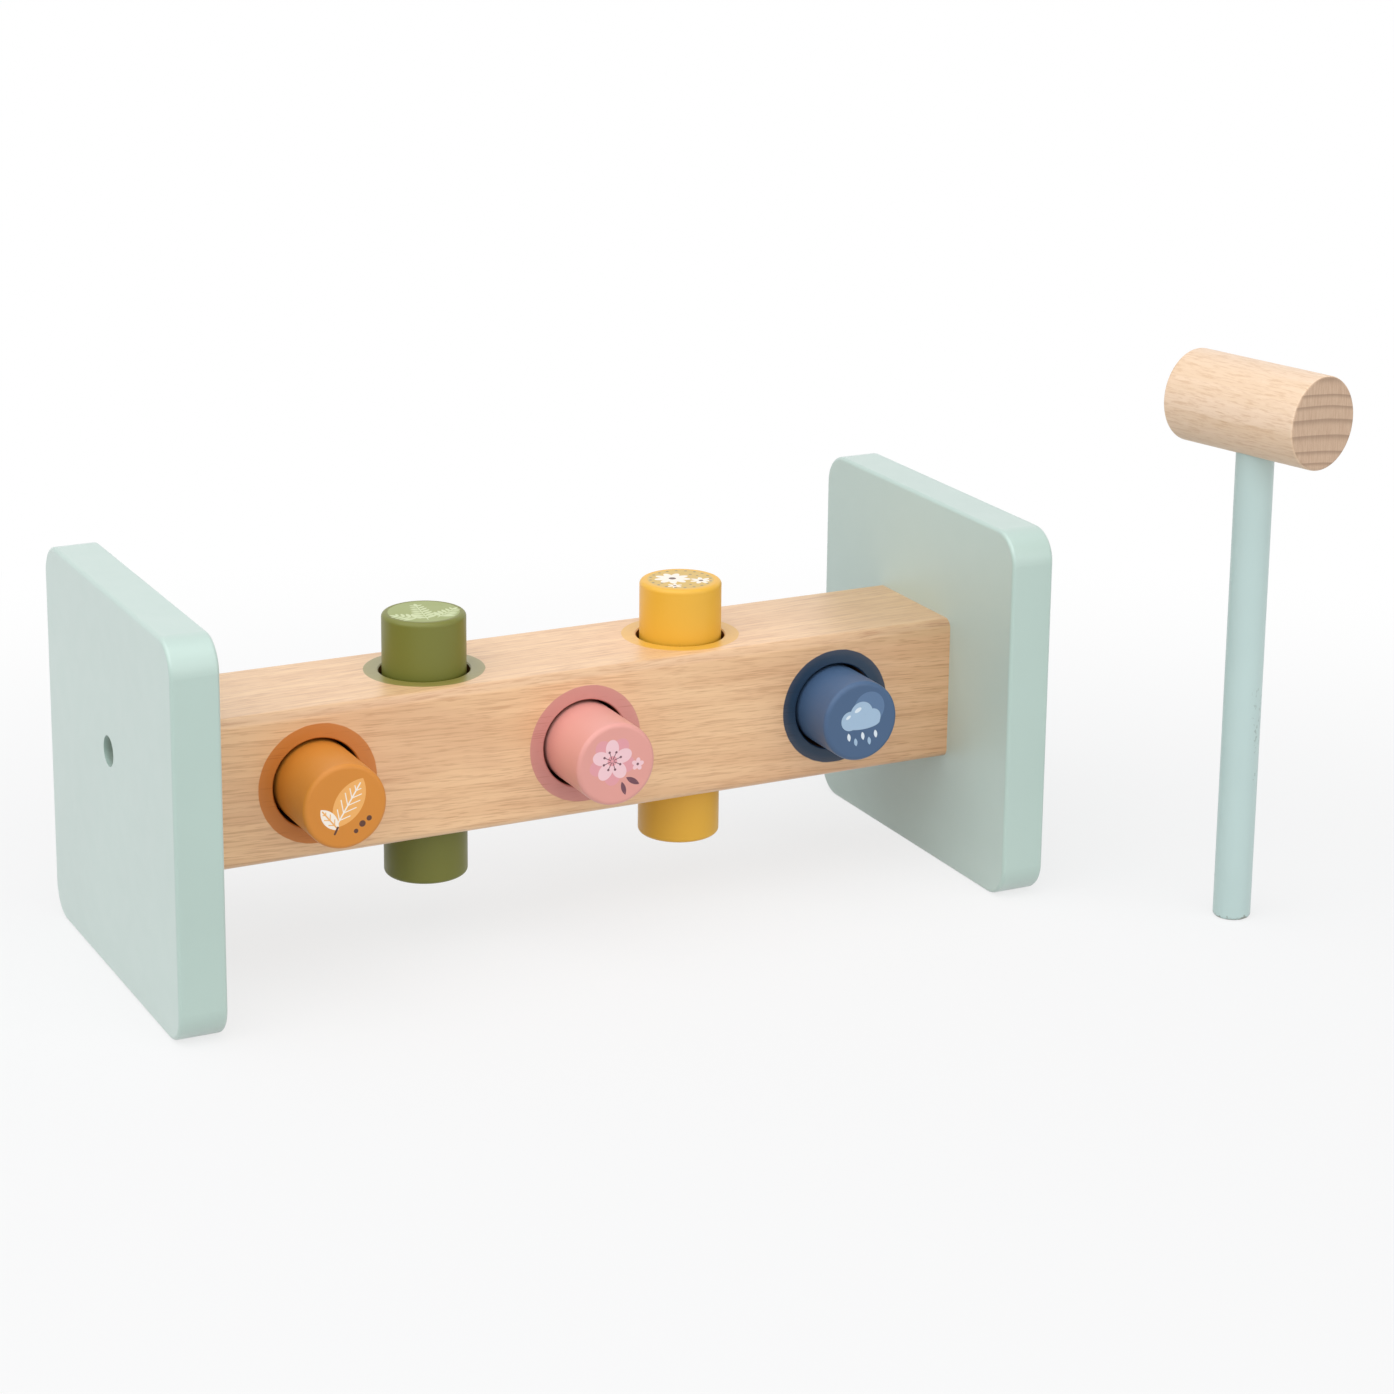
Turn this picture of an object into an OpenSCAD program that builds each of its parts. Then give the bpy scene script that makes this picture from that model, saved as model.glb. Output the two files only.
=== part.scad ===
// Peg pounding bench for a small child, with its mallet standing beside it.
// Millimetres, +Z up. The origin is on the floor, in the middle of the whole set's footprint.
// The beam runs along X, the player sits on the -Y side, and the mallet stands at the front right.

/* [End boards] */
// Side of each square end board
board_side = 102; // [92:1:120]
// Thickness of each end board
board_t = 12.4; // [10:0.1:16]
// Radius of a board's four corners
board_corner_r = 8.5; // [4:0.5:16]
// Radius of the fillet round both faces of a board
board_edge_r = 1; // [0.5:0.1:3]

/* [Beam] */
// Length of the beam between the two boards
beam_len = 219; // [190:1:260]
// Side of the beam's square section
beam_side = 39.5; // [36:0.5:46]
// Radius along the beam's four long edges
beam_edge_r = 2.5; // [0.5:0.5:5]

/* [Pegs] */
// Length of solid wood between each outer hole and the beam's end
end_wood = 23.6; // [20:0.1:26]
// Diameter of a peg
peg_d = 22; // [19:0.5:23]
// Length of a peg
peg_len = 71; // [64:0.5:74]
// Radius of the fillet round both ends of a peg
peg_edge_r = 1.2; // [0.3:0.1:3]
// Diameter of the holes that the pegs slide in
hole_d = 23.8; // [23.4:0.1:26]
// Chamfer at both mouths of a hole
hole_chamfer = 0.3; // [0.1:0.1:1]
// How far the orange peg stands out of the beam's front
orange_out = 19.3; // [5:0.1:24]
// How far the pink peg stands out of the beam's front
pink_out = 18.8; // [5:0.1:24]
// How far the blue peg stands out of the beam's front
blue_out = 14.5; // [5:0.1:24]
// How far the green peg stands out of the beam's top
green_out = 15.3; // [5:0.1:24]
// How far the yellow peg stands out of the beam's top
yellow_out = 15.1; // [5:0.1:24]

/* [Grip rings] */
// Depth of the groove that is turned round the middle of each peg
groove_depth = 1.5; // [0.8:0.1:2.5]
// Width of a groove beyond the thickness of its ring
groove_spare = 0.4; // [0.1:0.1:1]

/* [Screws] */
// Diameter of a screw's shank
screw_d = 4; // [3:0.5:5]
// Length of a screw under its head
screw_len = 25; // [16:1:27]
// Length of a screw's pointed tip
screw_tip_len = 5; // [3:0.5:8]
// Diameter of a screw's flat tip end
screw_tip_d = 0.8; // [0.4:0.1:1.5]
// Diameter of a screw's head
screw_head_d = 7; // [6:0.1:7.4]
// Height of a screw's head
screw_head_h = 2.4; // [1.8:0.1:2.8]
// Width across one slot of the cross in a screw's head
cross_w = 1.1; // [0.6:0.1:1.6]
// Length of each slot of the cross
cross_len = 4; // [3:0.1:5]
// Depth of the cross
cross_depth = 1.4; // [0.6:0.1:1.6]
// Diameter of the recess in a board's outer face that a screw's head sits in
recess_d = 8; // [7.8:0.1:10]
// Depth of that recess
recess_depth = 6; // [3:0.5:7]
// Height of the screws above the beam's axis
screw_up = 9.3; // [0:0.1:11]

/* [Dowels] */
// Diameter of a locating dowel
dowel_d = 6; // [5:0.5:8]
// How deep a dowel goes into an end board
dowel_in_board = 7; // [4:0.5:8]
// How deep a dowel goes into the beam
dowel_in_beam = 13; // [8:0.5:16]
// Height of a dowel above or below the beam's axis, and its distance to the side
dowel_offset = 10.5; // [9:0.5:12]
// Chamfer at a dowel's ends
dowel_chamfer = 0.8; // [0.3:0.1:1.5]
// Number of flutes round a dowel
dowel_flutes = 12; // [6:1:16]
// Diameter of the round cutter that forms a flute
flute_d = 0.8; // [0.4:0.1:1.2]

/* [Mallet] */
// Height of the mallet as it stands on the end of its handle
mallet_h = 151.5; // [130:0.5:180]
// Diameter of the handle
handle_d = 10; // [8:0.5:12]
// Radius of the fillet round the handle's ends
handle_edge_r = 1; // [0.3:0.1:2]
// Diameter of the head
head_d = 24.6; // [22:0.1:30]
// Length of the head
head_len = 43; // [36:1:60]
// Radius of the fillet round the head's ends
head_edge_r = 0.7; // [0.3:0.1:3]
// Depth of the blind hole in the head that the handle is glued into
socket_depth = 15; // [10:0.5:18]
// Distance of the handle's axis from the right board's outer face
mallet_away = 38.5; // [26:0.5:80]
// Distance of the handle's axis in front of the boards' front edges
mallet_ahead = 34; // [0:0.5:80]
// Turn of the head away from the beam's direction, in degrees
mallet_turn = 75.5; // [40:0.5:90]

/* [Fits] */
// Gap all round a part that is glued or screwed into wood
glue_gap = 0.05; // [0.02:0.01:0.2]
// Room left beyond the end of a glued dowel or handle
end_room = 0.5; // [0.2:0.1:1]
// Gap between a grip ring and the hole that it slides in
ring_gap = 0.05; // [0.02:0.01:0.1]

/* [Hidden] */
$fn = 72;

// How far a cutting shape runs past the face that it cuts
over = 1;

// Finishes
mint_paint = [0.74, 0.83, 0.79];
beech = [0.89, 0.75, 0.60];
pale_beech = [0.92, 0.80, 0.68];
steel = [0.62, 0.63, 0.62];
black_rubber = [0.12, 0.12, 0.12];
orange_paint = [0.86, 0.56, 0.26];
pink_paint = [0.92, 0.64, 0.60];
blue_paint = [0.33, 0.41, 0.55];
green_paint = [0.49, 0.54, 0.31];
yellow_paint = [0.93, 0.70, 0.28];

// The bench, measured from its own middle
board_inner_x = beam_len / 2;
board_outer_x = board_inner_x + board_t;
beam_z = board_side / 2;

// Pegs along the beam, as shares of the way from its middle to an outer peg
outer_peg_x = beam_len / 2 - end_wood - hole_d / 2;
orange_share = -1;
green_share = -0.5;
pink_share = 0;
yellow_share = 0.5;
blue_share = 1;

// A ring fills the gap round its peg and the groove under it
ring_outer_r = hole_d / 2 - ring_gap;
ring_cord_d = ring_outer_r - (peg_d / 2 - groove_depth) - glue_gap;
groove_w = ring_cord_d + groove_spare;

// The screw's head profile, as shares of its radius and height
head_profile_shares = [[0, 0], [1, 0], [1, 0.4], [0.84, 0.8], [0.55, 1], [0, 1]];
screw_seat_x = board_outer_x - recess_depth;

// The mallet, measured from the bench's middle
mallet_x = board_outer_x + mallet_away;
mallet_y = -(board_side / 2 + mallet_ahead);
head_z = mallet_h - head_d / 2;
handle_len = mallet_h - head_d + socket_depth - end_room;

// How far the head's rounded ends reach from the handle's axis, along X and along Y
head_core_half = head_len / 2 - head_edge_r;
head_core_r = head_d / 2 - head_edge_r;
head_reach_x = head_core_half * cos(mallet_turn) + head_core_r * sin(mallet_turn) + head_edge_r;
head_reach_y = head_core_half * sin(mallet_turn) + head_core_r * cos(mallet_turn) + head_edge_r;

// The middle of the whole set's footprint, measured from the bench's middle
set_left = -board_outer_x;
set_right = max(board_outer_x, mallet_x + head_reach_x);
set_front = min(-board_side / 2, mallet_y - head_reach_y);
set_back = board_side / 2;
set_middle = [(set_left + set_right) / 2, (set_front + set_back) / 2, 0];

// Moves a piece from the bench's own middle to the set's
module in_set() {
    translate(-set_middle) children();
}

// A flat rectangle with rounded corners, about its centre
module rounded_rect(w, h, r) {
    square([w - 2 * r, h], center = true);
    square([w, h - 2 * r], center = true);
    for (x = [-1, 1], y = [-1, 1])
        translate([x * (w / 2 - r), y * (h / 2 - r)]) circle(r);
}

// A round bar along Z, about its middle, with filleted ends and a groove of the given depth
module turned_bar(d, length, edge_r, cut_w = 0, cut_depth = 0) {
    rotate_extrude() difference() {
        intersection() {
            rounded_rect(d, length, edge_r);
            translate([0, -length / 2]) square([d / 2, length]);
        }
        if (cut_depth > 0)
            translate([d / 2 - cut_depth, -cut_w / 2]) square([cut_depth + over, cut_w]);
    }
}

// A square board lying flat about its middle, with round corners and both faces filleted
module filleted_board(side, t, corner_r, edge_r) {
    straight = side - 2 * corner_r;
    for (turn = [0, 90])
        rotate([90, 0, turn]) linear_extrude(straight, center = true) rounded_rect(side, t, edge_r);
    for (x = [-1, 1], y = [-1, 1])
        translate([x * straight / 2, y * straight / 2, 0]) turned_bar(2 * corner_r, t, edge_r);
}

// Puts a piece that stands along Z at one end of the bench: side -1 is the left, 1 the right,
// and +Z becomes the way out of the bench
module at_end(side, x, up = 0) {
    in_set() translate([side * x, 0, beam_z + up]) rotate([0, side * 90, 0]) children();
}

// The two dowels' places at one end, across the beam's axis from each other
module at_dowel(side, level) {
    at_end(side, board_inner_x)
        translate([-side * level * dowel_offset, level * dowel_offset, 0]) children();
}

// Hole for a dowel, from the joint face to the given depth on either side
module dowel_hole(board_depth, beam_depth) {
    translate([0, 0, -beam_depth])
        cylinder(d = dowel_d + 2 * glue_gap, h = beam_depth + board_depth);
}

module end_board(side) {
    color(mint_paint) difference() {
        at_end(side, board_inner_x + board_t / 2)
            filleted_board(board_side, board_t, board_corner_r, board_edge_r);
        at_end(side, screw_seat_x, screw_up) cylinder(d = recess_d, h = recess_depth + over);
        at_end(side, board_inner_x - over, screw_up)
            cylinder(d = screw_d + 2 * glue_gap, h = board_t - recess_depth + 2 * over);
        for (level = [-1, 1])
            at_dowel(side, level) dowel_hole(dowel_in_board + end_room, over);
    }
}

// A peg's hole through the beam, along Z about the beam's axis, with both mouths chamfered
module peg_hole() {
    cylinder(d = hole_d, h = beam_side + 2 * over, center = true);
    for (end = [0, 1])
        mirror([0, 0, end]) translate([0, 0, beam_side / 2 - hole_chamfer])
            cylinder(d1 = hole_d, d2 = hole_d + 2 * (hole_chamfer + over), h = hole_chamfer + over);
}

// Places a peg or its hole across the beam: a level one runs along Y, an upright one along Z,
// and +Z of the piece becomes the end that faces the player
module at_peg(share, upright) {
    in_set() translate([share * outer_peg_x, 0, beam_z])
        rotate([upright ? 0 : 90, 0, 0]) children();
}

module beam() {
    color(beech) difference() {
        in_set() translate([0, 0, beam_z]) rotate([0, 90, 0])
            linear_extrude(beam_len, center = true) rounded_rect(beam_side, beam_side, beam_edge_r);
        for (share = [orange_share, pink_share, blue_share])
            at_peg(share, false) peg_hole();
        for (share = [green_share, yellow_share])
            at_peg(share, true) peg_hole();
        for (side = [-1, 1]) {
            at_end(side, screw_seat_x - screw_len - end_room, screw_up)
                cylinder(d = screw_d + 2 * glue_gap, h = screw_len + board_t);
            for (level = [-1, 1])
                at_dowel(side, level) dowel_hole(over, dowel_in_beam + end_room);
        }
    }
}

// A wood screw that stands along Z with the underside of its head at the origin
module wood_screw() {
    shank_len = screw_len - screw_tip_len;
    head_points = [for (p = head_profile_shares) [p[0] * screw_head_d / 2, p[1] * screw_head_h]];
    difference() {
        union() {
            rotate_extrude() polygon(head_points);
            translate([0, 0, -shank_len]) cylinder(d = screw_d, h = shank_len);
            translate([0, 0, -screw_len])
                cylinder(d1 = screw_tip_d, d2 = screw_d, h = screw_tip_len);
        }
        for (turn = [0, 90])
            rotate([0, 0, turn])
                translate([-cross_len / 2, -cross_w / 2, screw_head_h - cross_depth])
                    cube([cross_len, cross_w, cross_depth + over]);
    }
}

module end_screw(side) {
    color(steel) at_end(side, screw_seat_x, screw_up) wood_screw();
}

// A fluted dowel about the joint between board and beam
module fluted_dowel(side, level) {
    length = dowel_in_board + dowel_in_beam;
    color(pale_beech) at_dowel(side, level) translate([0, 0, -dowel_in_beam])
        intersection() {
            linear_extrude(length) difference() {
                circle(d = dowel_d);
                for (i = [0 : dowel_flutes - 1])
                    rotate(i * 360 / dowel_flutes) translate([dowel_d / 2, 0]) circle(d = flute_d);
            }
            rotate_extrude() polygon([
                [0, 0], [dowel_d / 2 - dowel_chamfer, 0],
                [dowel_d / 2 + over, dowel_chamfer + over],
                [dowel_d / 2 + over, length - dowel_chamfer - over],
                [dowel_d / 2 - dowel_chamfer, length], [0, length]
            ]);
        }
}

// Middle of a peg that stands out of the beam's face by the given length
function peg_middle(out) = beam_side / 2 + out - peg_len / 2;

module peg(share, upright, out, paint) {
    color(paint) at_peg(share, upright) translate([0, 0, peg_middle(out)])
        turned_bar(peg_d, peg_len, peg_edge_r, groove_w, groove_depth);
}

module grip_ring(share, upright, out) {
    color(black_rubber) at_peg(share, upright) translate([0, 0, peg_middle(out)])
        rotate_extrude() translate([ring_outer_r - ring_cord_d / 2, 0]) circle(d = ring_cord_d);
}

// Puts a piece of the mallet over the foot of its handle
module at_mallet() {
    in_set() translate([mallet_x, mallet_y, 0]) children();
}

module mallet_head() {
    color(pale_beech) at_mallet() difference() {
        translate([0, 0, head_z]) rotate([0, 90, -mallet_turn])
            turned_bar(head_d, head_len, head_edge_r);
        translate([0, 0, mallet_h - head_d - over])
            cylinder(d = handle_d + 2 * glue_gap, h = socket_depth + over);
    }
}

module mallet_handle() {
    color(mint_paint) at_mallet() translate([0, 0, handle_len / 2])
        turned_bar(handle_d, handle_len, handle_edge_r);
}

end_board(-1);  // left_board
end_board(1);  // right_board
beam();
end_screw(-1);  // left_screw
end_screw(1);  // right_screw
fluted_dowel(-1, 1);  // left_upper_dowel
fluted_dowel(-1, -1);  // left_lower_dowel
fluted_dowel(1, 1);  // right_upper_dowel
fluted_dowel(1, -1);  // right_lower_dowel
peg(orange_share, false, orange_out, orange_paint);  // orange_peg
peg(pink_share, false, pink_out, pink_paint);  // pink_peg
peg(blue_share, false, blue_out, blue_paint);  // blue_peg
peg(green_share, true, green_out, green_paint);  // green_peg
peg(yellow_share, true, yellow_out, yellow_paint);  // yellow_peg
grip_ring(orange_share, false, orange_out);  // orange_grip_ring
grip_ring(pink_share, false, pink_out);  // pink_grip_ring
grip_ring(blue_share, false, blue_out);  // blue_grip_ring
grip_ring(green_share, true, green_out);  // green_grip_ring
grip_ring(yellow_share, true, yellow_out);  // yellow_grip_ring
mallet_head();
mallet_handle();
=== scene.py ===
"""Finishes, prints, floor, light and camera for the peg pounding bench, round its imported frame."""
import math

import bpy
from mathutils import Euler, Matrix, Vector


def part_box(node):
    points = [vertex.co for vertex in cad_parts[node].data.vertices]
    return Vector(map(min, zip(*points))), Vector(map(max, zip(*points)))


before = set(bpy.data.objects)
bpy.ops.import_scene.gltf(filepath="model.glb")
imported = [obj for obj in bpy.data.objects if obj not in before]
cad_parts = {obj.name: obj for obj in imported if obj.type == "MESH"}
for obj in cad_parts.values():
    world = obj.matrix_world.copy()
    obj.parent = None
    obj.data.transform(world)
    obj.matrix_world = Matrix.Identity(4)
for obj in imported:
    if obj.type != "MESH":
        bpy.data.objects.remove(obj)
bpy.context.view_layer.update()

# Units: Blender's are metres, and every pattern below is written in millimetres
PER_METRE = 1000.0
MM = 1.0 / PER_METRE


# Places and sizes that the frame gives

def middle(node):
    """The middle of a CAD node's box, in metres."""
    low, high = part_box(node)
    return (low + high) / 2


def size(node):
    """The sides of a CAD node's box, in millimetres."""
    low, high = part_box(node)
    return (high - low) * PER_METRE


BEAM_MIDDLE = middle("beam")
BEAM_FACE = size("beam").z / 2
UNDER_BEAM = Vector((BEAM_MIDDLE.x, BEAM_MIDDLE.y, 0.0))
HANDLE_MIDDLE = middle("mallet_handle")
HANDLE_FOOT = Vector((HANDLE_MIDDLE.x, HANDLE_MIDDLE.y, 0.0))

# Sizes and turns of the CAD that its boxes don't give, in millimetres and radians
HOLE_RADIUS = 11.9
RECESS_RADIUS = 4.0
RECESS_DEPTH = 6.0
HEAD_HALF_LENGTH = 21.5
HEAD_TURN = (0.0, 0.0, math.radians(75.5))
NO_TURN = (0.0, 0.0, 0.0)

# The pegs that lie level, from front to back, where the others stand upright
LEVEL_PEGS = ("orange", "pink", "blue")


# Camera, matched to the edges of the boards, beam and mallet in the photograph

CAMERA_PLACE = Vector((-364.01, -802.38, 345.31)) * MM
CAMERA_YAW = math.radians(26.817)
CAMERA_PITCH = math.radians(-14.504)
CAMERA_ROLL = math.radians(0.640)
LENS = 90.19
SENSOR = 36.0
LENS_SHIFT = -0.1557


def add_camera():
    """Adds the camera at its place from the floor under the beam's middle."""
    ahead = Vector((
        math.sin(CAMERA_YAW) * math.cos(CAMERA_PITCH),
        math.cos(CAMERA_YAW) * math.cos(CAMERA_PITCH),
        math.sin(CAMERA_PITCH),
    ))
    level_right = Vector((math.cos(CAMERA_YAW), -math.sin(CAMERA_YAW), 0.0))
    level_up = level_right.cross(ahead)
    right = level_right * math.cos(CAMERA_ROLL) + level_up * math.sin(CAMERA_ROLL)
    up = level_up * math.cos(CAMERA_ROLL) - level_right * math.sin(CAMERA_ROLL)
    data = bpy.data.cameras.new("camera")
    data.lens = LENS
    data.sensor_width = SENSOR
    data.shift_y = LENS_SHIFT
    camera = bpy.data.objects.new("camera", data)
    turn = Matrix((right, up, -ahead)).transposed().to_4x4()
    camera.matrix_world = Matrix.Translation(UNDER_BEAM + CAMERA_PLACE) @ turn
    bpy.context.scene.collection.objects.link(camera)
    bpy.context.scene.camera = camera


# Help for writing node trees

WHITE = (1.0, 1.0, 1.0, 1.0)
WITHOUT_X = (0.0, 1.0, 1.0)
WITHOUT_Z = (1.0, 1.0, 0.0)
NOISE_MIDDLE = 0.5
NOISE_SPREAD = (0.3, 0.7)
WIDE_SPREAD = (0.2, 0.8)


def srgb(red, green, blue):
    """A screen colour, 0 to 255, as the linear colour that a shader takes."""
    def linear(level):
        share = level / 255
        return share / 12.92 if share <= 0.04045 else ((share + 0.055) / 1.055) ** 2.4
    return (linear(red), linear(green), linear(blue), 1.0)


class Tree:
    """Adds nodes to a shader tree. An input takes a plain value or another node's output."""

    def __init__(self, tree):
        self.nodes = tree.nodes
        self.links = tree.links

    def put(self, socket, value):
        if isinstance(value, bpy.types.NodeSocket):
            self.links.new(value, socket)
        else:
            socket.default_value = value

    def put_all(self, sockets, values):
        """Puts each value on the socket of its name."""
        for name, value in values.items():
            self.put(sockets[name], value)

    def add(self, kind, inputs=None, **settings):
        node = self.nodes.new("ShaderNode" + kind)
        for name, value in settings.items():
            setattr(node, name, value)
        self.put_all(node.inputs, inputs or {})
        return node

    def use(self, group, inputs):
        return self.add("Group", inputs, node_tree=group).outputs

    def math(self, operation, *values):
        node = self.add("Math", operation=operation)
        for socket, value in zip(node.inputs, values):
            self.put(socket, value)
        return node.outputs["Value"]

    def vector(self, operation, *values):
        node = self.add("VectorMath", operation=operation)
        for socket, value in zip(node.inputs, values):
            self.put(socket, value)
        single = operation in ("LENGTH", "DOT_PRODUCT", "DISTANCE")
        return node.outputs["Value" if single else "Vector"]

    def stretch(self, position, lengths):
        """The position divided by a length for each axis, so that a pattern has those sizes."""
        if isinstance(lengths, float):
            lengths = (lengths, lengths, lengths)
        return self.vector("DIVIDE", position, lengths)

    def split(self, position):
        return self.add("SeparateXYZ", {"Vector": position}).outputs

    def join(self, x, y, z=0.0):
        return self.add("CombineXYZ", {"X": x, "Y": y, "Z": z}).outputs["Vector"]

    def fade(self, value, start, end, low=0.0, high=1.0):
        """Goes smoothly from low to high while value goes from start to end."""
        ends = {"From Min": start, "From Max": end, "To Min": low, "To Max": high}
        node = self.add("MapRange", {"Value": value, **ends}, interpolation_type="SMOOTHSTEP")
        return node.outputs["Result"]

    def noise(self, position, detail=2.0, roughness=0.5):
        look = {"Scale": 1.0, "Detail": detail, "Roughness": roughness}
        return self.add("TexNoise", {"Vector": position, **look}).outputs["Fac"]

    def swing(self, position):
        """Noise that swings about zero."""
        return self.math("SUBTRACT", self.noise(position), NOISE_MIDDLE)

    def cells(self, position):
        return self.add("TexVoronoi", {"Vector": position, "Scale": 1.0}).outputs

    def mix(self, factor, below, above, mode="MIX"):
        """Lays one colour over another."""
        node = self.add("Mix", data_type="RGBA", blend_type=mode)
        sockets = {s.identifier: s for s in node.inputs}
        self.put_all(sockets, {"Factor_Float": factor, "A_Color": below, "B_Color": above})
        return next(s for s in node.outputs if s.identifier == "Result_Color")

    def place(self, origin, turn=NO_TURN):
        """The place in millimetres from origin, turned so that a pattern lies along the piece."""
        shift = Euler(turn).to_matrix() @ (-Vector(origin) * PER_METRE)
        return self.add("Mapping", {
            "Vector": self.add("TexCoord").outputs["Object"],
            "Location": shift,
            "Rotation": turn,
            "Scale": (PER_METRE, PER_METRE, PER_METRE),
        }).outputs["Vector"]

    def relief(self, height, strength=1.0):
        """The normal of a surface with that height in millimetres."""
        inputs = {"Height": height, "Strength": strength, "Distance": MM}
        return self.add("Bump", inputs).outputs["Normal"]


def new_group(name, fill, outputs, vectors=(), floats=()):
    """A shared effect with named sockets. fill(tree, given) gives its outputs by name."""
    group = bpy.data.node_groups.new(name, "ShaderNodeTree")
    sockets = [(label, "INPUT", "NodeSocketVector") for label in vectors]
    sockets += [(label, "INPUT", "NodeSocketFloat") for label in floats]
    sockets += [(label, "OUTPUT", "NodeSocketFloat") for label in outputs]
    for label, side, kind in sockets:
        group.interface.new_socket(label, in_out=side, socket_type=kind)
    tree = Tree(group)
    given = group.nodes.new("NodeGroupInput").outputs
    end = group.nodes.new("NodeGroupOutput")
    tree.put_all(end.inputs, fill(tree, given))
    return group


def new_material(name):
    """An empty material, its tree and its Principled shader's inputs."""
    material = bpy.data.materials.new(name)
    material.use_nodes = True
    tree = Tree(material.node_tree)
    return material, tree, material.node_tree.nodes["Principled BSDF"].inputs


# Beech's figure: the sizes of its patterns in millimetres, along the grain and twice across it

SWAY_SIZE = (80.0, 30.0, 30.0)
RIPPLE_SIZE = (18.0, 6.0, 6.0)
LONG_FLECK_SIZE = (12.0, 0.55, 0.55)
SHORT_FLECK_SIZE = (5.5, 0.42, 0.42)
BROAD_STREAK_SIZE = (75.0, 3.6, 3.6)
NARROW_STREAK_SIZE = (34.0, 0.8, 0.8)
FIBRE_WIDTH = 0.56

# The growth lines: how far the grain strays, how uneven the rings are and how a line rises and ends
SWAY_REACH = 3.0
RIPPLE_REACH = 0.3
UNEVEN_SPAN = 7.0
UNEVEN_RINGS = 0.9
LINE_RISE = (0.35, 0.93)
LINE_SHARPNESS = 2.4
LINE_END = (1.0, 0.955)

# The flecks: which of them are left out, how strong they are and how they end
LONG_FLECKS_LEFT_OUT = 0.2
SHORT_FLECKS_LEFT_OUT = 0.3
SHORT_FLECK_SHARE = 0.8
FULL_FLECK = 0.95
FLECK_EDGE = (0.36, 0.12)

# The streaks' shares, and the depths of flecks and fibres in millimetres
BROAD_SHARE = 0.75
NARROW_SHARE = 0.25
FLECK_PIT = 0.006
FIBRE_PIT = 0.012


def fill_flecks(t, given):
    """Spindle-shaped flecks, one in each cell, of which the faintest are left out."""
    cells = t.cells(given["Position"])
    pick = t.split(cells["Color"])["X"]
    spindle = t.fade(cells["Distance"], *FLECK_EDGE)
    return {"Mask": t.math("MULTIPLY", spindle, t.fade(pick, given["Least"], FULL_FLECK))}


FLECK_CELLS = new_group(
    "fleck_cells", fill_flecks, outputs=("Mask",), vectors=("Position",), floats=("Least",),
)


def flecks_of(t, position, lengths, least):
    """Flecks of those lengths."""
    return t.use(FLECK_CELLS, {"Position": t.stretch(position, lengths), "Least": least})["Mask"]


def fill_beech(t, given):
    """Beech with its grain along X: growth lines round a far centre, ray flecks and fibres."""
    position = given["Position"]
    sway = t.swing(t.stretch(position, SWAY_SIZE))
    ripple = t.swing(t.stretch(position, RIPPLE_SIZE))
    sway = t.math("MULTIPLY", sway, SWAY_REACH)
    bend = t.math("ADD", sway, t.math("MULTIPLY", ripple, RIPPLE_REACH))
    bend = t.math("MULTIPLY", bend, given["Waviness"])
    bent = t.vector("ADD", position, t.join(0.0, bend, bend))

    from_centre = t.vector("SUBTRACT", bent, given["Ring Centre"])
    radius = t.vector("LENGTH", t.vector("MULTIPLY", from_centre, WITHOUT_X))
    uneven = t.noise(t.join(0.0, 0.0, t.math("DIVIDE", radius, UNEVEN_SPAN)), detail=0.0)
    rings = t.math("DIVIDE", radius, given["Ring Spacing"])
    rings = t.math("ADD", rings, t.math("MULTIPLY", uneven, UNEVEN_RINGS))
    phase = t.math("FRACT", rings)
    rise = t.math("POWER", t.fade(phase, *LINE_RISE), LINE_SHARPNESS)
    growth = t.math("MULTIPLY", rise, t.fade(phase, *LINE_END))

    fleck_size = given["Fleck Size"]
    fine = t.stretch(bent, t.join(fleck_size, fleck_size, fleck_size))
    long_flecks = flecks_of(t, fine, LONG_FLECK_SIZE, LONG_FLECKS_LEFT_OUT)
    short_flecks = flecks_of(t, fine, SHORT_FLECK_SIZE, SHORT_FLECKS_LEFT_OUT)
    short_flecks = t.math("MULTIPLY", short_flecks, SHORT_FLECK_SHARE)
    flecks = t.math("MAXIMUM", long_flecks, short_flecks)

    broad = t.noise(t.stretch(bent, BROAD_STREAK_SIZE))
    narrow = t.noise(t.stretch(bent, NARROW_STREAK_SIZE), roughness=0.6)
    broad = t.math("MULTIPLY", broad, BROAD_SHARE)
    streaks = t.math("ADD", broad, t.math("MULTIPLY", narrow, NARROW_SHARE))
    fibre_size = t.join(given["Fibre Length"], FIBRE_WIDTH, FIBRE_WIDTH)
    fibres = t.noise(t.stretch(bent, fibre_size), detail=3.0, roughness=0.6)
    fleck_pits = t.math("MULTIPLY", flecks, FLECK_PIT)
    pits = t.math("ADD", fleck_pits, t.math("MULTIPLY", fibres, FIBRE_PIT))
    return {
        "Streaks": streaks,
        "Growth": growth,
        "Flecks": flecks,
        "Fibres": fibres,
        "Height": t.math("SUBTRACT", 0.0, pits),
    }


BEECH_FIGURE = new_group(
    "beech_figure", fill_beech,
    outputs=("Streaks", "Growth", "Flecks", "Fibres", "Height"),
    vectors=("Position", "Ring Centre"),
    floats=("Ring Spacing", "Fleck Size", "Fibre Length", "Waviness"),
)


# Paint's skin: the sizes of its patterns and the depths of its relief, in millimetres

PEEL_SIZE = 1.6
GRIT_SIZE = 0.35
TONE_SIZE = 26.0
GLOSS_SIZE = 7.0
PEEL_DEPTH = 0.020
GRIT_DEPTH = 0.0025


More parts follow.
